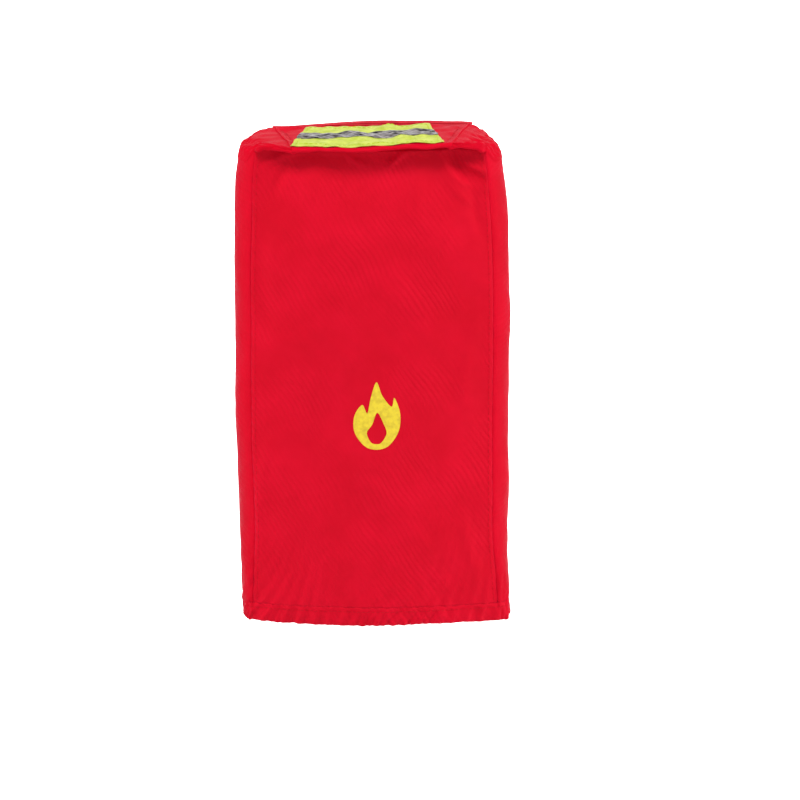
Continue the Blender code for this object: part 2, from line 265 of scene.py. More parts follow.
def cloth_piece(name, points, material, body, away_from, thickness=CLOTH, round_rows=False):
    obj = link(name, grid_mesh(name, points, away_from, round_rows), material, body)
    if thickness:
        solid = obj.modifiers.new("thickness", "SOLIDIFY")
        solid.thickness = thickness
        solid.offset = -1
    return obj


def tube_mesh(paths, radius, sides=6):
    """Closed round threads along several short paths, as one mesh."""
    points, faces = [], []
    for path in paths:
        path = np.asarray(path, float)
        along = np.gradient(path, axis=0)
        along /= np.linalg.norm(along, axis=1)[:, None] + 1e-12
        helper = np.array([0.31, 0.52, 0.79])
        side = np.cross(along, helper)
        side /= np.linalg.norm(side, axis=1)[:, None] + 1e-12
        up = np.cross(along, side)
        first, count = len(points), len(path)
        for i in range(count):
            for k in range(sides):
                turn = 2 * math.pi * k / sides
                points.append(path[i] + radius * (math.cos(turn) * side[i] + math.sin(turn) * up[i]))
        for i in range(count - 1):
            for k in range(sides):
                a, b = first + i * sides + k, first + i * sides + (k + 1) % sides
                faces.append((a, b, b + sides, a + sides))
        faces.append([first + k for k in range(sides)][::-1])
        faces.append([first + (count - 1) * sides + k for k in range(sides)])
    mesh = bpy.data.meshes.new("threads")
    mesh.from_pydata([tuple(p) for p in points], [], faces)
    mesh.shade_smooth()
    return mesh


def stitches(name, path, material, body, pitch=0.0034, share=0.72, radius=0.00024, lift=None):
    """Stitches along a path: short threads that dip into the cloth at both ends."""
    path = np.asarray(path, float)
    steps = np.linalg.norm(np.diff(path, axis=0), axis=1)
    reach = np.concatenate([[0], np.cumsum(steps)])
    count = max(int(reach[-1] / pitch), 1)
    lift = np.zeros(3) if lift is None else np.asarray(lift, float)
    threads = []
    for i in range(count):
        places = (i + 0.5 + share * np.array([-0.5, -0.3, 0, 0.3, 0.5])) * reach[-1] / count
        line = np.stack([np.interp(places, reach, path[:, k]) for k in range(3)], axis=-1)
        rise = np.array([-0.9, 0.35, 0.6, 0.35, -0.9])[:, None] * radius
        threads.append(line + rise * lift)
    return link(name, tube_mesh(threads, radius), material, body)


def rim(points, rows, columns):
    """The closed line that runs a few rows and columns in from a sheet's edges."""
    inner = points[rows:-rows, columns:-columns]
    return np.concatenate([inner[0], inner[:, -1], inner[-1][::-1], inner[::-1, 0]])


# ---------------------------------------------------------------- materials

def new_material(name):
    material = bpy.data.materials.new(name)
    material.use_nodes = True
    tree = material.node_tree
    return material, tree, tree.nodes["Principled BSDF"]


def node(tree, kind, **settings):
    made = tree.nodes.new(kind)
    for key, value in settings.items():
        if key in made.inputs:
            made.inputs[key].default_value = value
        else:
            setattr(made, key, value)
    return made


def sum_of(tree, a, b, scale_b=1.0):
    add = node(tree, "ShaderNodeMath", operation="MULTIPLY_ADD")
    tree.links.new(b, add.inputs[0])
    add.inputs[1].default_value = scale_b
    tree.links.new(a, add.inputs[2])
    return add.outputs[0]


def waves(tree, place, pitch, direction, distortion=0.0, detail_scale=1.0):
    """Bands of the given pitch; a Wave texture of scale 1 repeats every 0.314 of a unit."""
    wave = node(tree, "ShaderNodeTexWave", Scale=0.31416 / pitch, Distortion=distortion)
    wave.bands_direction = direction
    wave.inputs["Detail"].default_value = 1.0
    wave.inputs["Detail Scale"].default_value = detail_scale
    tree.links.new(place, wave.inputs["Vector"])
    return wave.outputs["Fac"]


def turned(tree, angles):
    """Object coordinates turned so that a piece of cloth lies along local X and Y."""
    coordinates = node(tree, "ShaderNodeTexCoord")
    mapping = node(tree, "ShaderNodeMapping")
    mapping.inputs["Rotation"].default_value = [math.radians(a) for a in angles]
    tree.links.new(coordinates.outputs["Object"], mapping.inputs["Vector"])
    return mapping.outputs["Vector"]


def speckle(tree, place, size, detail=3.0, roughness=0.55):
    noise = node(tree, "ShaderNodeTexNoise", Scale=1 / size, Detail=detail, Roughness=roughness)
    tree.links.new(place, noise.inputs["Vector"])
    return noise.outputs["Fac"]


def colour_between(tree, factor, low, high, start=0.3, end=0.7):
    ramp = node(tree, "ShaderNodeValToRGB")
    ramp.color_ramp.elements[0].position, ramp.color_ramp.elements[1].position = start, end
    ramp.color_ramp.elements[0].color = (*low, 1)
    ramp.color_ramp.elements[1].color = (*high, 1)
    tree.links.new(factor, ramp.inputs["Fac"])
    return ramp.outputs["Color"]


def bumped(tree, height, distance, strength=1.0, base=None):
    bump = node(tree, "ShaderNodeBump", Strength=strength, Distance=distance)
    tree.links.new(height, bump.inputs["Height"])
    if base:
        tree.links.new(base, bump.inputs["Normal"])
    return bump.outputs["Normal"]


def vary_roughness(tree, shader, factor, start, end):
    rough = node(tree, "ShaderNodeMapRange")
    rough.inputs["To Min"].default_value, rough.inputs["To Max"].default_value = start, end
    tree.links.new(factor, rough.inputs["Value"])
    tree.links.new(rough.outputs["Result"], shader.inputs["Roughness"])


def woven(name, low, high, angles=(0, 0, 0), pitch=0.00062, roughness=(0.5, 0.68), sheen=0.06,
          moire=0.0, bump=0.00010, specular=0.06, sheen_tint=(1, 1, 1)):
    """Plain-woven cloth: crossing yarns, slow colour change, slubs and an optional watered look."""
    material, tree, shader = new_material(name)
    place = turned(tree, angles)
    warp = waves(tree, place, pitch, "X", 0.5, 3)
    weft = waves(tree, place, pitch, "Y", 0.5, 3)
    yarns = node(tree, "ShaderNodeMath", operation="MULTIPLY")
    tree.links.new(warp, yarns.inputs[0])
    tree.links.new(weft, yarns.inputs[1])
    slubs = speckle(tree, place, 0.004, 4)
    height = sum_of(tree, yarns.outputs[0], slubs, 0.5)
    patches = speckle(tree, place, 0.030, 4)
    shade = sum_of(tree, patches, yarns.outputs[0], 0.10)
    normal = bumped(tree, height, bump)
    if moire:
        slant = turned(tree, (angles[0], angles[1], angles[2] - 32))
        bands = waves(tree, slant, 0.0030, "X", 9.0, 0.24)
        strength = node(tree, "ShaderNodeMath", operation="MULTIPLY")
        tree.links.new(bands, strength.inputs[0])
        tree.links.new(colour_between(tree, speckle(tree, place, 0.045, 2), (0, 0, 0), (1, 1, 1), 0.38, 0.62),
                       strength.inputs[1])
        watered = strength.outputs[0]
        shade = sum_of(tree, shade, watered, 0.26 * moire)
        normal = bumped(tree, watered, 0.00020 * moire, 1.0, normal)
    tree.links.new(colour_between(tree, shade, low, high, 0.32, 0.86), shader.inputs["Base Color"])
    vary_roughness(tree, shader, slubs, *roughness)
    tree.links.new(normal, shader.inputs["Normal"])
    shader.inputs["Sheen Weight"].default_value = sheen
    shader.inputs["Sheen Roughness"].default_value = 0.4
    shader.inputs["Sheen Tint"].default_value = (*sheen_tint, 1)
    shader.inputs["Specular IOR Level"].default_value = specular
    return material


RED_LOW, RED_HIGH = (0.615, 0.0017, 0.0150), (0.715, 0.0026, 0.0220)
FRONT_ANGLES, SIDE_ANGLES, TOP_ANGLES = (-90, 0, 0), (0, -90, 0), (0, 0, 0)


def red_cloth(name, angles, moire=0.0, sheen=0.06, specular=0.06):
    return woven(name, RED_LOW, RED_HIGH, angles, moire=moire, sheen=sheen, specular=specular,
                 sheen_tint=(1.0, 0.35, 0.85))


def webbing(name, low, high, angles, pitch=0.0016, rib=0.00022, specular=0.3):
    """Close ribs across the tape, with a fine weave between them."""
    material, tree, shader = new_material(name)
    place = turned(tree, angles)
    ribs = waves(tree, place, pitch, "Y", 0.3, 2)
    yarns = waves(tree, place, pitch * 0.55, "X", 0.8, 3)
    height = sum_of(tree, ribs, yarns, 0.35)
    shade = sum_of(tree, speckle(tree, place, 0.006), ribs, 0.25)
    tree.links.new(colour_between(tree, shade, low, high, 0.35, 0.85), shader.inputs["Base Color"])
    tree.links.new(bumped(tree, height, rib), shader.inputs["Normal"])
    vary_roughness(tree, shader, yarns, 0.5, 0.8)
    shader.inputs["Specular IOR Level"].default_value = specular
    return material


def reflective(name):
    """Grey retroreflective film: fine glass beads, a faint lattice and a blotchy mottle of darker and lighter
    grey.
    """
    material, tree, shader = new_material(name)
    place = turned(tree, TOP_ANGLES)
    beads = node(tree, "ShaderNodeTexVoronoi", Scale=1 / 0.0009)
    tree.links.new(place, beads.inputs["Vector"])
    across = waves(tree, turned(tree, (0, 0, 45)), 0.0032, "X")
    down = waves(tree, turned(tree, (0, 0, -45)), 0.0032, "X")
    # Blotches that make the film's grey darker and lighter in patches; they also set its roughness.
    mottle = speckle(tree, place, 0.011, 5, 0.62)
    lattice = sum_of(tree, across, down)
    shade = sum_of(tree, mottle, lattice, 0.10)
    tree.links.new(colour_between(tree, shade, (0.008, 0.004, 0.010), (0.31, 0.27, 0.27), 0.46, 0.84),
                   shader.inputs["Base Color"])
    height = sum_of(tree, beads.outputs["Distance"], lattice, 0.4)
    tree.links.new(bumped(tree, height, 0.00012), shader.inputs["Normal"])
    vary_roughness(tree, shader, mottle, 0.28, 0.5)
    shader.inputs["Metallic"].default_value = 0.3
    return material


def worn_brass(name):
    material, tree, shader = new_material(name)
    place = turned(tree, (0, 0, 0))
    wear = speckle(tree, place, 0.003, 6, 0.65)
    tree.links.new(colour_between(tree, wear, (0.42, 0.27, 0.09), (0.83, 0.62, 0.27), 0.35, 0.65),
                   shader.inputs["Base Color"])
    vary_roughness(tree, shader, wear, 0.42, 0.2)
    tree.links.new(bumped(tree, wear, 0.00008), shader.inputs["Normal"])
    shader.inputs["Metallic"].default_value = 1.0
    return material


def fuzzy(name, low, high, size):
    """Hook or loop strip: a dense field of tiny bristles."""
    material, tree, shader = new_material(name)
    place = turned(tree, (0, 0, 0))
    bristles = node(tree, "ShaderNodeTexVoronoi", Scale=1 / size)
    tree.links.new(place, bristles.inputs["Vector"])
    tree.links.new(colour_between(tree, bristles.outputs["Distance"], high, low, 0.1, 0.7),
                   shader.inputs["Base Color"])
    tree.links.new(bumped(tree, bristles.outputs["Distance"], 0.0005), shader.inputs["Normal"])
    shader.inputs["Roughness"].default_value = 0.85
    return material


def thread(name, colour):
    material, tree, shader = new_material(name)
    place = turned(tree, (0, 0, 0))
    ply = speckle(tree, place, 0.0006, 2)
    dark = tuple(0.72 * c for c in colour)
    tree.links.new(colour_between(tree, ply, dark, colour), shader.inputs["Base Color"])
    tree.links.new(bumped(tree, ply, 0.00006), shader.inputs["Normal"])
    shader.inputs["Roughness"].default_value = 0.6
    shader.inputs["Specular IOR Level"].default_value = 0.12
    return material


def printed(name, low, high):
    """Screen-printed ink that the weave shows through."""
    material, tree, shader = new_material(name)
    place = turned(tree, FRONT_ANGLES)
    yarns = sum_of(tree, waves(tree, place, 0.0007, "X", 0.5, 3), waves(tree, place, 0.0007, "Y", 0.5, 3))
    ink = speckle(tree, place, 0.0035, 5, 0.6)
    tree.links.new(colour_between(tree, ink, low, high, 0.25, 0.6), shader.inputs["Base Color"])
    tree.links.new(bumped(tree, yarns, 0.00005), shader.inputs["Normal"])
    shader.inputs["Roughness"].default_value = 0.5
    return material


# ---------------------------------------------------------------- walls

def make_walls(cloth_front, cloth_side, sewing):
    stations = np.linspace(-1, 1, 171)[None, :]
    heights = np.linspace(HEM_TOP - 0.0004, FRONT_TOP, 211)[:, None]
    front = cloth_piece("front_cloth", wall(stations, heights), cloth_front, "pouch", INSIDE)
    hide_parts("front_panel")
    for side, sign in (("left", -1), ("right", 1)):
        stations = sign * np.linspace(1, 2.11, 68)[None, :]
        top = mix(FRONT_TOP, JOINT_Z, step(np.abs(stations), 1.05, 1.20))
        heights = mix(HEM_TOP - 0.0004, top, np.linspace(0, 1, 181)[:, None])
        gusset = cloth_piece(f"{side}_gusset_cloth", wall(stations, heights), cloth_side, "pouch", INSIDE)
        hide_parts(f"{side}_gusset")
        seam = wall(sign * 0.968, np.linspace(HEM_TOP + 0.001, FRONT_TOP - 0.002, 300))
        stitches(f"{side}_front_stitching", seam, sewing, "pouch", radius=0.00016, lift=(0, -1, 0))
        edge = wall(sign * 2.075, np.linspace(HEM_TOP + 0.001, JOINT_Z - 0.004, 300))
        stitches(f"{side}_back_stitching", edge, sewing, "pouch", lift=(0, 1, 0))


def make_back(cloth_front, sewing):
    bottom, top = HEM_TOP - 0.0004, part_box("back_panel")[1][2]
    across = np.linspace(-1, 1, 121)[None, :]
    z = np.linspace(bottom, top, 201)[:, None]
    side = np.sign(across) + (across == 0)
    x = across * (BACK_X - 0.0006) * taper(z, side)
    uneven = 0.5 + 0.5 * ripple(x + 0 * z, z + 0 * x, 0.035, 21, stretch=1.8)
    drawn = np.clip(0.4 - gathers(x + 0 * z, z - MOUTH) / 0.0008, 0, 2)
    flat = step(np.abs(across), 1.0, 0.9)
    y = -0.0008 - flat * (0.00035 * np.clip(uneven, 0, 1.6) + 0.00045 * drawn * np.exp(-(z - MOUTH) / 0.02))
    points = np.stack([x, y, z + 0 * x], axis=-1)
    back = cloth_piece("back_cloth", points, cloth_front, "pouch", INSIDE)
    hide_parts("back_panel")
    line = np.stack([np.linspace(-0.066, 0.066, 60), np.full(60, -0.0007), np.full(60, top - 0.004)], -1)
    stitches("back_top_stitching", line, sewing, "pouch", lift=(0, 1, 0))


def hem_profile(stations):
    """Down the outside, round the edge and up the inside of the gathered hem."""
    rows = []
    for height in np.linspace(HEM_TOP - MOUTH, 0.0022, 9):
        rows.append(wall(stations, MOUTH + height))
    along = around(stations)
    waver = 0.00022 * ripple(along, 0 * along, 0.0085, 14) + 0.0004 * ripple(along, 0 * along, 0.045, 15)
    for angle in np.linspace(0, math.pi, 9)[1:-1]:
        inset = HEM_THICKNESS / 2 * (1 - math.cos(angle))
        row = wall(stations, MOUTH + 0.0022, inset)
        row[..., 2] = MOUTH + 0.0022 - 0.0020 * math.sin(angle) + waver
        rows.append(row)
    for height in np.linspace(0.0022, HEM_TOP - MOUTH - 0.001, 6):
        rows.append(wall(stations, MOUTH + height, HEM_THICKNESS, 0.8))
    return np.stack(rows, axis=1)


def make_hem(cloth, sewing):
    stations = np.linspace(-3, 3, 601)[:-1]
    hem = cloth_piece("gathered_hem", hem_profile(stations), cloth, "pouch", INSIDE_HEM,
                      thickness=0.0007, round_rows=True)
    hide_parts("mouth_hem")
    line = wall(np.linspace(-2.99, 2.99, 900), HEM_TOP - 0.0028)
    stitches("hem_stitching", line, sewing, "pouch", pitch=0.0030, radius=0.00017)


def make_elastic(band):
    """The gathered band inside the hem, with the same puckers."""
    stations = np.linspace(-3, 3, 481)[:-1]
    rows = [wall(stations, z, 0.0012, 0.9) for z in np.linspace(MOUTH + 0.0024, MOUTH + 0.0106, 9)]
    points = np.stack(rows, axis=1)
    points[..., 1] = np.minimum(points[..., 1], -0.0012)
    elastic = cloth_piece("elastic_band", points, band, "pouch", INSIDE_HEM, 0.0006, True)
    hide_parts("mouth_elastic")


def make_seam_tape(side, sign, cloth, sewing):
    stations = sign * np.linspace(0.945, 1.13, 14)[None, :]
    heights = np.linspace(HEM_TOP - 0.0002, JOINT_Z - 0.0010, 160)[:, None]
    points = wall(stations, heights, 0.0014, 0.8)
    tape = cloth_piece(f"{side}_seam_binding", points, cloth, "pouch", INSIDE, 0.0005)
    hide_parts(f"{side}_seam_tape")
    for place in (0.962, 1.10):
        line = wall(sign * place, np.linspace(HEM_TOP + 0.002, JOINT_Z - 0.004, 260), 0.0021, 0.8)
        stitches(f"{side}_seam_binding_stitching_{place:.2f}", line, sewing, "pouch", lift=(0, 1, 0))


def make_front_tuck(cloth, sewing):
    """The front's top edge, rolled back under the lid."""
    stations = np.linspace(-0.79, 0.79, 121)
    low = wall(stations, FRONT_TOP - 0.0030, 0.0004)
    top = wall(stations, FRONT_TOP, 0.0004)
    rows = [low, mix(low, top, 0.5)]
    radius = 0.0014
    for angle in np.linspace(0, math.pi / 2, 8):
        back, up = radius * (1 - math.cos(angle)), radius * math.sin(angle)
        rows.append(top + np.array([0, back, up]))
    edge = rows[-1]
    for share in np.linspace(0, 1, 16)[1:]:
        row = edge.copy()
        row[:, 1] = mix(edge[:, 1], -0.0300, share)
        row[:, 2] += 0.00022 * share * ripple(row[:, 0], row[:, 1], 0.016, 35)
        rows.append(row)
    points = np.stack(rows)
    tuck = cloth_piece("tuck_cloth", points, cloth, "pouch", (0, -0.035, FRONT_TOP - 0.03), 0.0008)
    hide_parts("front_tuck")
    stitches("tuck_stitching", points[-2], sewing, "pouch", lift=(0, 0, 1))


def reshaped(node_name, name, material, body, shift, pitch=0.004, axes=(0, 2)):
    """A CAD node cut finely along its long axes and moved point by point."""
    source = bpy.data.objects[node_name]
    bm = bmesh.new()
    bm.from_mesh(source.data)
    bmesh.ops.transform(bm, matrix=source.matrix_world, verts=bm.verts[:])
    low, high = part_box(node_name)
    for axis in axes:
        normal = [0, 0, 0]
        normal[axis] = 1
        for place in np.arange(low[axis] + pitch / 2, high[axis], pitch):
            point = [0, 0, 0]
            point[axis] = float(place)
            bmesh.ops.bisect_plane(bm, geom=bm.verts[:] + bm.edges[:] + bm.faces[:],
                                   plane_co=point, plane_no=normal)
    bmesh.ops.triangulate(bm, faces=bm.faces[:])
    bm.edges.ensure_lookup_table()
    for edge in bm.edges:
        edge.smooth = len(edge.link_faces) == 2 and edge.calc_face_angle() < 0.7
    for face in bm.faces:
        face.smooth = True
    places = np.array([vert.co for vert in bm.verts])
    for vert, moved in zip(bm.verts, places + shift(places)):
        vert.co = moved
    mesh = bpy.data.meshes.new(name)
    bm.to_mesh(mesh)
    bm.free()
    obj = link(name, mesh, material, body)
    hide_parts(node_name)
    return obj


def yoke_dip(places):
    """The yoke's top edge sags at the left, where the bag hangs lower."""
    x, z = places[:, 0], places[:, 2]
    dip = 0.0034 * step(-x, 0.000, 0.058) * step(z, TOP - 0.022, TOP - 0.002)
    move = np.zeros_like(places)
    move[:, 2] = -dip + 0.00025 * ripple(x, 0 * x, 0.03, 91) * step(z, TOP - 0.022, TOP - 0.004)
    beyond = np.clip(np.abs(x) - 0.0560, 0, None)
    move[:, 0] = -np.sign(x) * beyond * 0.42
    move[:, 2] -= 0.0012 * step(x, 0.050, 0.066) * step(z, TOP - 0.022, TOP - 0.002)
    move[:, 1] = -0.00022 * (1 + ripple(x, z, 0.022, 92) * 0.6) * step(z, TOP - 0.046, TOP - 0.030)
    return move


def make_yoke(cloth, binding, sewing):
    yoke = reshaped("back_yoke", "yoke_cloth", cloth, "pouch", yoke_dip)
    edge = reshaped("yoke_binding", "yoke_edge_binding", binding, "pouch", yoke_dip)
    front, back = (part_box("yoke_binding")[k][1] for k in (0, 1))
    low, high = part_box("yoke_binding")[0][2] + 0.0016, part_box("back_yoke")[0][2] + 0.003
    for name, y, z in (("binding_front", front, low), ("binding_back", back, low),
                       ("yoke_low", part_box("back_yoke")[1][1], high)):
        x = np.linspace(-0.0645, 0.0645, 90)
        line = np.stack([x, np.full(90, y), np.full(90, z)], -1)
        line += yoke_dip(line)
        way = -1 if name == "binding_front" else 1
        stitches(f"{name}_stitching", line, sewing, "pouch", lift=(0, way, 0))


def make_eyelet(side, sign, brass):
    """A turned brass eyelet: rolled flange in front, flat washer behind, smooth bore."""
    low, high = (Vector(v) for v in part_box(f"{side}_eyelet"))
    centre_x, centre_z = (low.x + high.x) / 2, (low.z + high.z) / 2
    outer = (high.x - low.x) / 2
    bore = 0.0040
    profile = [(bore, high.y - 0.0009)]
    profile += [(bore + 0.0009 * (1 - math.cos(a)), high.y - 0.0009 + 0.0009 * math.sin(a))
                for a in np.linspace(0.3, math.pi / 2, 5)]
    profile += [(outer - 0.0007, high.y - 0.0001), (outer - 0.0001, high.y - 0.0006),
                (outer - 0.0002, high.y - 0.0012), (bore + 0.0011, high.y - 0.0013),
                (bore + 0.0010, low.y + 0.0013), (outer - 0.0004, low.y + 0.0012)]
    profile += [(outer - 0.0010 + 0.0009 * math.cos(a), low.y + 0.0009 - 0.0008 * math.sin(a))
                for a in np.linspace(0, math.pi / 2, 5)]
    profile += [(bore + 0.0022, low.y + 0.0001), (bore + 0.0008, low.y + 0.0003), (bore, low.y + 0.0010)]
    turns = 72
    rows = []
    for k in range(turns):
        angle = 2 * math.pi * k / turns
        rows.append([(centre_x + r * math.cos(angle), y, centre_z + r * math.sin(angle)) for r, y in profile])
    points = np.array(rows)
    points = np.concatenate([points, points[:, :1]], axis=1)
    centre = (centre_x, (low.y + high.y) / 2, centre_z)
    mesh = grid_mesh(f"{side}_eyelet_ring", points, centre, round_rows=True)
    ring = link(f"{side}_eyelet_ring", mesh, brass, "pouch")
    weld = ring.modifiers.new("join", "WELD")
    weld.merge_threshold = 0.00001
    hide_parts(f"{side}_eyelet")


# ---------------------------------------------------------------- lid

def lid_wave(x, y):
    """Unevenness shared by the flap and the tapes sewn to it."""
    crown = 0.0007 * (1 - (x / 0.06) ** 2)
    lean = 0.030 * x
    soft = 0.00042 * ripple(x, y, 0.026, 31) + 0.00020 * ripple(x, y, 0.011, 32)
    sag = -0.0008 * np.exp(-((x + 0.010) / 0.014) ** 2) * step(y, -0.040, -0.058)
    return crown + lean + soft + sag


def lip_y(x):
    waver = 0.0006 * ripple(x, 0 * x, 0.024, 33)
    return mix(LIP_CROWN_Y, LIP_SEAM_Y, (x / SEAM_X) ** 2) + waver


def flap_level(depth):
    return FLAP_Z - FLAP_FALL * depth ** 1.4


def flap_point(across, depth):
    """Upper face of the flap: across from -1 to 1, depth from 0 at the back to 1 at the lip."""
    front = lip_y(across * FLAP_FRONT_X) + LIP_RADIUS
    y = mix(FLAP_BACK_Y, front, depth)
    x = across * mix(FLAP_BACK_X, FLAP_FRONT_X, depth)
    beside = (1 - np.abs(across)) * 0.055
    ridge = (0.0008 * np.exp(-(beside / 0.0016) ** 2)
             - 0.0004 * np.exp(-((beside - 0.0042) / 0.0020) ** 2))
    z = (flap_level(depth) + lid_wave(x, y) * step(depth, -0.05, 0.12)
         + ridge * step(depth, 0.0, 0.12) * step(depth, 1.0, 0.86))
    return x, y, z


def roll_rows(x, y, z, radius, way_x, way_y, turn=2.9, count=13):
    """Rows of cloth that roll down from an edge and back under it."""
    rows = []
    for angle in np.linspace(0, turn, count)[1:]:
        ahead, down = radius * np.sin(angle), radius * (1 - np.cos(angle))
        rows.append(np.stack([x + way_x * ahead, y + way_y * ahead, z - down], -1))
    return rows


def make_flap(cloth, sewing):
    across = np.linspace(-1, 1, 141)
    rows = [np.stack(flap_point(across, depth + 0 * across), -1) for depth in np.linspace(0, 1, 48)]
    x, y, z = flap_point(across, np.ones_like(across))
    radius = LIP_RADIUS * (1 + 0.10 * ripple(x, 0 * x, 0.019, 34) + 0.35 * step(np.abs(across), 0.82, 1.0))
    rows += roll_rows(x, y, z, radius, 0.0, -1.0)
    rows.append(rows[-1] + np.array([0, 0.0040, 0.0004]))
    flap = cloth_piece("flap_cloth", np.stack(rows), cloth, None, (0, -0.03, FLAP_Z - 0.02), FLAP_CLOTH)
    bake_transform(flap)
    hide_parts("top_flap")
    for side, sign in (("left", -1), ("right", 1)):
        depth = np.linspace(0.2, 0.97, 80)
        line = np.stack(flap_point(sign * (1 - 0.085 + 0 * depth), depth), -1)
        stitches(f"{side}_flap_stitching", line, sewing, "lid", lift=(0, 0, 1))


def hook_lift(places):
    """How far the hook strip moves up to lie against the flap's lower face."""
    x, y = places[:, 0], places[:, 1]
    depth = (y - FLAP_BACK_Y) / (lip_y(x) + LIP_RADIUS - FLAP_BACK_Y)
    below = flap_level(depth) + lid_wave(x, y) - FLAP_CLOTH - 0.0001
    return np.stack([0 * x, 0 * x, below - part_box("hook_strip")[1][2]], -1)


def loop_lift(places):
    """The loop strip gives way where the hooks hang lower."""
    return np.minimum(hook_lift(places) + 0.0002, 0)


def make_closure():
    bristles = fuzzy("hooks", (0.006, 0.006, 0.007), (0.05, 0.05, 0.055), 0.0011)
    hooks = reshaped("hook_strip", "hook_field", bristles, "lid", hook_lift, axes=(0, 1))
    pile = fuzzy("loops", (0.010, 0.010, 0.011), (0.06, 0.06, 0.065), 0.0006)
    loops = reshaped("loop_strip", "loop_field", pile, "pouch", loop_lift, axes=(0, 1))


def lid_strip(name, replaced, far, near, half_far, half_near, lift, material, slot, size):
    """A strip sewn on the flap, between two depths, wider towards the lip."""
    depth = np.linspace(far, near, 30)[:, None]
    half = mix(half_far, half_near, (depth - far) / (near - far))
    across = np.linspace(-1, 1, 111)[None, :]
    front = lip_y(across * FLAP_FRONT_X) + LIP_RADIUS
    y = mix(FLAP_BACK_Y, front, depth)
    x = across * half - 0.0030 + 0.0006 * ripple(depth * 0.05, 0 * across, 0.012, 41) * across
    y = y + 0.0006 * ripple(x, y, 0.020, 42)
    crumple = 0.00026 * ripple(x, y, 0.0065, 43) + 0.00020 * ripple(x, y, 0.013, 44)
    z = flap_level(depth) + lid_wave(x, y) + lift + crumple
    points = np.stack([x, y, z], -1)
    strip = cloth_piece(name, points, material, "lid", (0, -0.03, FLAP_Z - 0.05), 0.0004)
    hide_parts(replaced)
    return points


def make_tapes(lime, silver, sewing):
    far, near, half_far, half_near = 0.120, 0.985, 0.038, 0.047
    points = lid_strip("lime_tape", "hi_vis_tape", far, near, half_far, half_near, 0.0009, lime,
                       "lime_tape", (0.085, 0.050))
    stripe_far, stripe_near = 0.42, 0.655
    ends = [mix(half_far, half_near, (s - far) / (near - far)) for s in (stripe_far, stripe_near)]
    lid_strip("silver_stripe", "reflective_stripe", stripe_far, stripe_near, *ends, 0.0013, silver,
              "silver_tape", (0.085, 0.0135))
    stitches("tape_stitching", rim(points, 2, 3), sewing, "lid", pitch=0.0030, lift=(0, 0, 1))


CORNER_START, CORNER_END, CORNER_LAP = 0.648, 1.97, 2.07
# How each corner is folded: roundness of its shoulder, how far its outer edge droops
CORNER_SHAPE = {-1: (0.82, 0.0002), 1: (0.60, 0.0040)}
# Folds of the corners, as (share round the corner, share up and in), start to end, width, height
CORNER_FOLDS = {
    -1: [((0.02, 0.90), (0.98, 0.93), 0.030, 0.0005), ((0.05, 0.72), (0.55, 0.80), 0.035, -0.0005),
         ((0.30, 0.20), (0.36, 0.70), 0.025, 0.0006), ((0.55, 0.45), (0.80, 0.80), 0.040, -0.0004)],
    1: [((0.02, 0.91), (0.98, 0.93), 0.030, 0.0006), ((0.10, 0.60), (0.55, 0.86), 0.030, -0.0009),
        ((0.42, 0.55), (0.50, 0.92), 0.030, 0.0008), ((0.52, 0.50), (0.60, 0.85), 0.028, -0.0008),
        ((0.26, 0.15), (0.34, 0.62), 0.022, 0.0009)],
}


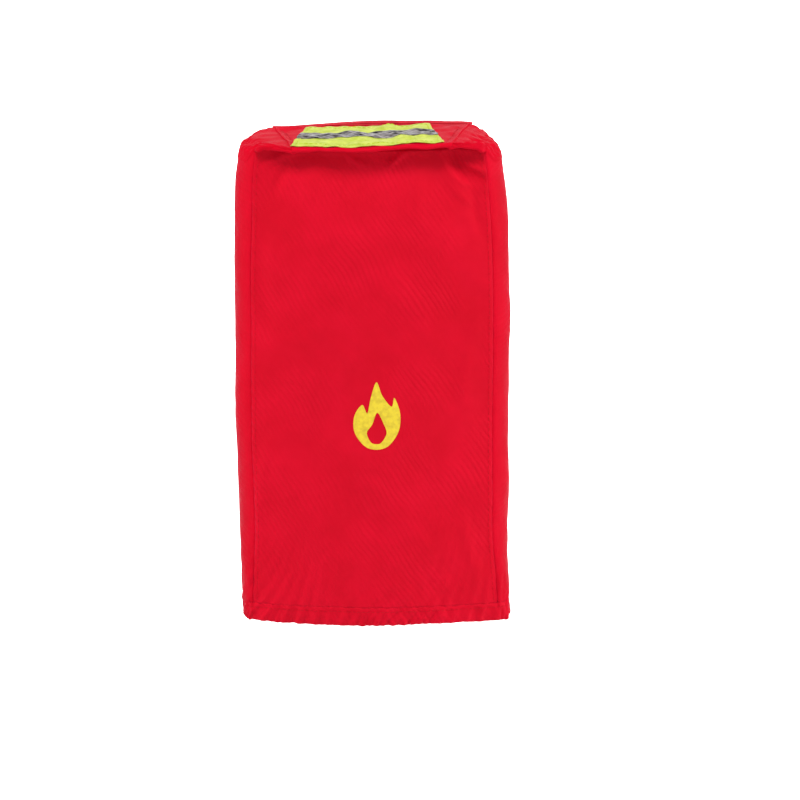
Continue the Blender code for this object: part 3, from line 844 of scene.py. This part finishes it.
def corner_points(sign):
    """Rows from the corner's lower edge, over the shoulder and in under the flap's slanted edge."""
    stations = np.linspace(CORNER_START, CORNER_LAP, 108)
    roundness, droop = CORNER_SHAPE[sign]
    share = np.clip((stations - CORNER_START) / (CORNER_END - CORNER_START), 0, 1)
    on_side = step(stations, 1.0, 1.16)
    flush = step(stations, 0.965, 1.025)
    inner = np.stack(flap_point(sign * np.ones_like(share), 1 - share), -1)
    inner[:, 2] -= 0.0007

    # Front: a soft lip that rolls under. Side: flush with the gusset, from the line it folds on.
    seam_x = SEAM_X * taper(np.array(JOINT_Z), sign)
    lip_x = sign * (FLAP_FRONT_X - 0.0030 + (seam_x - FLAP_FRONT_X + 0.0030)
                    * (stations - CORNER_START) / (1 - CORNER_START))
    fall = droop * step(np.abs(lip_x), 0.046, 0.073)
    under_flap = 1 - step(share, 0.0, 0.10)
    lip_z = inner[:, 2] - 0.0013 - 0.0008 * under_flap - fall
    edge_z = mix(mix(lip_z, FRONT_TOP - 0.0006, step(stations, 0.93, 1.0)), JOINT_Z - 0.0010, on_side)
    lip = np.stack([lip_x, lip_y(lip_x) + 0.0008 * under_flap, edge_z], -1)
    beside = wall(sign * stations, edge_z, inset=-0.00025)
    slope = (wall(sign * stations, JOINT_Z) - wall(sign * stations, JOINT_Z - 0.004)) / 0.004
    start = mix(lip, beside, flush[:, None])
    rising = mix(np.array([0, 0, 1.0]) + 0 * slope, slope, on_side[:, None])

    reach = inner[:, 2] - start[:, 2]
    firmness = mix(0.90, roundness, on_side)
    first = start + rising * (firmness * reach)[:, None]
    outward_way = (start - inner) * np.array([1, 1, 0])
    last = inner + outward_way * firmness[:, None]
    last[:, 2] -= fall * (1 - on_side) + droop * on_side * np.sin(np.pi * np.clip(share * 1.1, 0, 1)) ** 0.5

    rows = []
    way = outward_way / (np.linalg.norm(outward_way, axis=1)[:, None] + 1e-9)
    for angle in np.linspace(2.6, 0, 9)[:-1]:
        curl = 0.0017 * (1 - flush)
        under = start - way * (curl * (1 - math.cos(angle * 0.6)))[:, None]
        under[:, 2] -= curl * math.sin(angle * 0.6) + 0.00012 * angle * flush
        rows.append(under)
    for t in np.linspace(0, 1, 40):
        a, b, c, d = (1 - t) ** 3, 3 * t * (1 - t) ** 2, 3 * t * t * (1 - t), t ** 3
        row = a * start + b * first + c * last + d * inner
        along, inward = share * 0.10, t * 0.045
        soft = (0.00055 * ripple(along, inward, 0.021, 51 + sign)
                + 0.00028 * ripple(along, inward, 0.009, 53 + sign))
        fold = 0.0
        for begin, end, width, size in CORNER_FOLDS[sign]:
            fold = fold + crease(share, np.full_like(share, t), begin, end, width, size)
        row[:, 2] += (soft + fold) * math.sin(math.pi * min(t * 1.15, 1)) ** 0.6
        row += way * (0.6 * soft * math.sin(math.pi * t))[:, None]
        rows.append(row)
    tucked = rows[-1].copy()
    tucked -= way * 0.0045
    tucked[:, 2] -= 0.0006
    rows.append(tucked)
    return np.stack(rows)


def make_corner(side, sign, cloth):
    corner = cloth_piece(f"{side}_corner_cloth", corner_points(sign), cloth, None,
                         (sign * 0.05, -0.026, TOP - 0.04), 0.0007)
    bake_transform(corner)
    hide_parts(f"{side}_corner_tuck")


# ---------------------------------------------------------------- blanket

def make_blanket(cloth):
    """One sheet of glass cloth, folded in plies across its width and then along its length."""
    low, high = (Vector(v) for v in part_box("folded_blanket"))
    layers, plies = 7, 9
    layer = (high.y - low.y) / layers
    ply = layer * 0.88 / plies
    turn_from = 0.86  # share of a ply's width where it starts to cross to the next
    half_x = (high.x - low.x) / 2 - 0.001
    u_steps, v_steps = 15, 15
    lane_x, lane_out = [], []
    for p in range(plies):
        direction = 1 if p % 2 == 0 else -1
        for k in range(u_steps):
            share = k / (u_steps - 1)
            ease = math.sin((share - 0.5) * math.pi)
            lane_x.append(direction * half_x * ease)
            crossing = 1 - math.cos(math.pi * max(share - turn_from, 0) / 0.14)
            lane_out.append((p + 0.5 * crossing / 2 - (plies - 1) / 2 - 0.25) * ply)
    lane_x, lane_out = np.array(lane_x), np.array(lane_out)
    centre, normal = [], []
    straight_low, straight_high = low.z + layer / 2, high.z - layer / 2
    for n in range(layers):
        y = low.y + layer * (n + 0.5)
        upward = n % 2 == 0
        for z in np.linspace(straight_low, straight_high, v_steps):
            z = z if upward else straight_low + straight_high - z
            centre.append((y, z))
            normal.append((1.0, 0.0) if upward else (-1.0, 0.0))
        if n < layers - 1:
            end = straight_high if upward else straight_low
            turn_way = 1 if upward else -1
            for angle in np.linspace(0, math.pi, 8)[1:-1]:
                centre.append((y + layer / 2 * (1 - math.cos(angle)),
                               end + turn_way * layer / 2 * math.sin(angle)))
                normal.append((math.cos(angle), -turn_way * math.sin(angle)))
    centre, normal = np.array(centre), np.array(normal)
    y = centre[:, :1] + normal[:, :1] * lane_out[None, :]
    z = centre[:, 1:] + normal[:, 1:] * lane_out[None, :]
    x = np.broadcast_to(lane_x[None, :], y.shape)
    slack = 1 + 0.012 * np.sin(np.arange(y.shape[0])[:, None] * 0.9)
    middle_y = (low.y + high.y) / 2
    y = y + 0.0006 * ripple(x, z, 0.045, 61) + 0.0002 * ripple(x, z, 0.014, 63)
    # The pack yields to the walls: rounder at the sides and where the front is drawn in at the top
    reach = (-front_depth(np.clip(np.abs(x) / SEAM_X, 0, 1), z) - 0.0030
             - 0.0014 * np.abs(ripple(x, z, 0.04, 62)))
    back = -high.y
    y = -(back + (-y - back) * np.minimum(1, (reach - back) / (-low.y - back)))
    points = np.stack([x * slack * np.minimum(1, 0.96 * taper(z, x) + 0.035), y, z], -1)
    sheet = cloth_piece("folded_blanket_cloth", points, cloth, "blanket", (0, middle_y, 0), thickness=0.0)
    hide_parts("folded_blanket")


def make_pull_tape(side, sign, tape, patch, sewing):
    low, high = (Vector(v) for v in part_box(f"{side}_pull_tape"))
    x0, x1 = low.x, high.x
    middle_y, radius = (low.y + high.y) / 2, (high.y - low.y) / 2 - 0.0005
    path = []
    for share in np.linspace(0, 1, 14):
        path.append((middle_y - radius, mix(high.z - 0.0004, low.z + radius + 0.0006, share)))
    for angle in np.linspace(0, math.pi, 8)[1:-1]:
        path.append((middle_y - radius * math.cos(angle), low.z + radius + 0.0006 - radius * math.sin(angle)))
    for share in np.linspace(1, 0, 14):
        path.append((middle_y + radius, mix(high.z - 0.0004, low.z + radius + 0.0006, share)))
    path = np.array(path)
    xs = np.linspace(x0 + 0.0003, x1 - 0.0003, 14)
    across, y, z = np.broadcast_arrays(xs[None, :], path[:, :1], path[:, 1:])
    points = np.stack([across, y + 0.00012 * ripple(xs[None, :], path[:, 1:], 0.01, 71), z], -1)
    middle = (x0, middle_y, (low.z + high.z) / 2)
    strap = cloth_piece(f"{side}_pull_webbing", points, tape, f"{side}_pull", middle, 0.0007)
    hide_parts(f"{side}_pull_tape")
    front = middle_y - radius - 0.0001
    inset = 0.0030
    a, b = (x0 + inset, low.z + 0.007), (x1 - inset, high.z - 0.007)
    corners = [(a[0], a[1]), (b[0], a[1]), (b[0], b[1]), (a[0], b[1]), (a[0], a[1]), (b[0], b[1])]
    for face, y in (("front", front), ("back", middle_y + radius + 0.0001)):
        line = np.array([(mix(p[0], q[0], t), y, mix(p[1], q[1], t))
                         for p, q in zip(corners, corners[1:]) for t in np.linspace(0, 1, 12)])
        stitches(f"{side}_pull_{face}_stitching", line, sewing, f"{side}_pull", pitch=0.0024,
                 lift=(0, -1 if face == "front" else 1, 0))
    make_patch(side, patch, sewing)


def make_patch(side, patch, sewing):
    low, high = (Vector(v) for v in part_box(f"{side}_tape_patch"))
    x = np.linspace(low.x, high.x, 24)[None, :]
    y = np.linspace(low.y, high.y, 16)[:, None]
    z = low.z + 0.00012 * (1 + ripple(x + 0 * y, y + 0 * x, 0.008, 81))
    points = np.stack([x + 0 * y, y + 0 * x, z], -1)
    above = (low.x, low.y, high.z + 0.05)
    cover = cloth_piece(f"{side}_patch_cloth", points, patch, "blanket", above, 0.0008)
    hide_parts(f"{side}_tape_patch")
    stitches(f"{side}_patch_stitching", rim(points, 2, 2), sewing, "blanket", pitch=0.0026,
             lift=(0, 0, -1))


# ---------------------------------------------------------------- printed mark

def smooth_loop(corners, per_span=8):
    """A closed Catmull-Rom curve through a few chosen points."""
    points = []
    count = len(corners)
    for i in range(count):
        p0, p1, p2, p3 = (np.array(corners[(i + k - 1) % count]) for k in range(4))
        for t in np.linspace(0, 1, per_span, endpoint=False):
            points.append(0.5 * (2 * p1 + (p2 - p0) * t + (2 * p0 - 5 * p1 + 4 * p2 - p3) * t ** 2
                                 + (3 * p1 - p0 - 3 * p2 + p3) * t ** 3))
    return points


def make_flame(ink):
    """A plain flame, printed at the middle of the front."""
    centre_x, centre_z, size = 0.0025, -0.020, 0.022
    outer = [(0.0, 1.0), (0.16, 0.62), (0.42, 0.30), (0.50, 0.55), (0.66, 0.10), (0.62, -0.42),
             (0.34, -0.84), (0.0, -0.95), (-0.34, -0.84), (-0.62, -0.44), (-0.62, 0.02),
             (-0.40, 0.34), (-0.26, 0.10), (-0.16, 0.55)]
    inner = [(0.02, 0.12), (0.20, -0.20), (0.28, -0.48), (0.14, -0.74), (0.0, -0.79),
             (-0.16, -0.73), (-0.27, -0.46), (-0.12, -0.22)]
    bm = bmesh.new()
    for loop in (outer, inner):
        verts = [bm.verts.new((centre_x + size * px, 0, centre_z + size * pz))
                 for px, pz in smooth_loop(loop)]
        for a, b in zip(verts, verts[1:] + verts[:1]):
            bm.edges.new((a, b))
    bmesh.ops.triangle_fill(bm, edges=bm.edges[:], use_beauty=True, normal=(0, -1, 0))
    for k in range(-10, 11):
        for co, no in (((centre_x + k * 0.0022, 0, 0), (1, 0, 0)),
                       ((0, 0, centre_z + k * 0.0022), (0, 0, 1))):
            bmesh.ops.bisect_plane(bm, geom=bm.verts[:] + bm.edges[:] + bm.faces[:],
                                   plane_co=co, plane_no=no)
    for vert in bm.verts:
        station = vert.co.x / (SEAM_X * float(taper(np.array(vert.co.z), np.sign(vert.co.x) + 0.5)))
        place = wall(station, vert.co.z, inset=-0.00018)
        vert.co = Vector(place.tolist())
    bmesh.ops.recalc_face_normals(bm, faces=bm.faces[:])
    mesh = bpy.data.meshes.new("flame_mark")
    bm.to_mesh(mesh)
    bm.free()
    mesh.shade_smooth()
    mark = link("flame_mark", mesh, ink, "pouch")


# ---------------------------------------------------------------- camera, floor and light

def make_camera():
    elevation = math.radians(14.5)
    distance, shown = 3.2, 0.4970
    data = bpy.data.cameras.new("camera")
    data.sensor_width = 36
    data.lens = 36 * distance / shown
    camera = bpy.data.objects.new("camera", data)
    up = Vector((0, math.sin(elevation), math.cos(elevation)))
    target = Vector((0.0170, -0.030, 0)) - up * 0.0160
    camera.location = target + Vector((0, -math.cos(elevation), math.sin(elevation))) * distance
    camera.rotation_euler = (target - camera.location).to_track_quat("-Z", "Y").to_euler()
    bpy.context.scene.collection.objects.link(camera)
    bpy.context.scene.camera = camera


def area_light(name, place, aim, size, power, spread=180):
    data = bpy.data.lights.new(name, "AREA")
    data.shape = "RECTANGLE"
    data.size, data.size_y = size
    data.energy = power
    data.spread = math.radians(spread)
    light = bpy.data.objects.new(name, data)
    light.location = place
    light.rotation_euler = (Vector(aim) - Vector(place)).to_track_quat("-Z", "Y").to_euler()
    bpy.context.scene.collection.objects.link(light)


def make_studio():
    world = bpy.data.worlds.new("studio")
    bpy.context.scene.world = world
    world.use_nodes = True
    world.node_tree.nodes["Background"].inputs["Color"].default_value = (1, 1, 1, 1)
    world.node_tree.nodes["Background"].inputs["Strength"].default_value = 0.26
    bpy.ops.mesh.primitive_plane_add(size=40, location=(0, 0, -1.0))
    floor = bpy.context.object
    floor.name = "floor"
    material, tree, shader = new_material("floor")
    grain = speckle(tree, turned(tree, (0, 0, 0)), 0.4, 2)
    paint = colour_between(tree, grain, (0.93, 0.93, 0.93), (0.95, 0.95, 0.95))
    tree.links.new(paint, shader.inputs["Base Color"])
    shader.inputs["Roughness"].default_value = 0.9
    floor.data.materials.append(material)
    area_light("key", (-0.38, -1.25, 2.20), (0, 0, 0), (0.95, 0.75), 45)
    area_light("front", (0.25, -3.2, 0.45), (0, 0, 0), (1.8, 1.6), 21)
    area_light("left", (-1.8, -0.25, 0.3), (0, 0, 0), (0.8, 1.8), 15)
    area_light("right", (1.8, -0.25, 0.3), (0, 0, 0), (0.8, 1.8), 24)
    area_light("back", (0.2, 2.4, 1.0), (0, 0, 0), (2.0, 1.4), 22)
    area_light("floor_light", (0, 5.9, 3.4), (0, 5.9, -1), (6, 4.6), 440, spread=100)


make_camera()
make_studio()
bpy.context.scene.view_settings.view_transform = "Standard"

red_front = red_cloth("red_cloth_front", FRONT_ANGLES, moire=0.9)
red_side = red_cloth("red_cloth_side", SIDE_ANGLES, moire=0.4, sheen=0.035, specular=0.045)
red_top = red_cloth("red_cloth_top", TOP_ANGLES, sheen=0.02, specular=0.03)
red_thread = thread("red_thread", (0.62, 0.002, 0.014))
dark_trim = woven("dark_trim", (0.34, 0.002, 0.008), (0.48, 0.003, 0.012), FRONT_ANGLES, pitch=0.0009)
glass_cloth = woven("glass_cloth", (0.68, 0.66, 0.58), (0.80, 0.79, 0.73), FRONT_ANGLES, pitch=0.0011,
                    bump=0.00022, sheen=0.1)
lime_cloth = webbing("lime_cloth", (0.42, 0.52, 0.032), (0.70, 0.77, 0.15), TOP_ANGLES, 0.0011,
                     0.00012, 0.2)
silver_film = reflective("silver_film")
black_webbing = webbing("black_webbing", (0.008, 0.008, 0.010), (0.045, 0.045, 0.050), FRONT_ANGLES)
white_elastic = webbing("white_elastic", (0.60, 0.60, 0.57), (0.88, 0.87, 0.83), FRONT_ANGLES, 0.0012)
white_thread = thread("white_thread", (0.80, 0.79, 0.74))
red_binding = webbing("red_binding", (0.50, 0.010, 0.024), (0.74, 0.030, 0.050), FRONT_ANGLES, 0.0013)
brass = worn_brass("worn_brass")
lime_thread = thread("lime_thread", (0.60, 0.72, 0.06))

make_walls(red_front, red_side, red_thread)
make_back(red_front, red_thread)
make_hem(red_front, red_thread)
make_elastic(white_elastic)
make_yoke(dark_trim, red_binding, white_thread)
make_front_tuck(red_top, red_thread)
make_flap(red_top, red_thread)
make_tapes(lime_cloth, silver_film, lime_thread)
for side_name, side_sign in (("left", -1), ("right", 1)):
    make_corner(side_name, side_sign, red_top)
    make_seam_tape(side_name, side_sign, dark_trim, red_thread)
    make_eyelet(side_name, side_sign, brass)
    make_pull_tape(side_name, side_sign, black_webbing, glass_cloth, white_thread)
make_blanket(glass_cloth)
make_flame(printed("yellow_ink", (0.62, 0.42, 0.010), (0.86, 0.66, 0.020)))
make_closure()
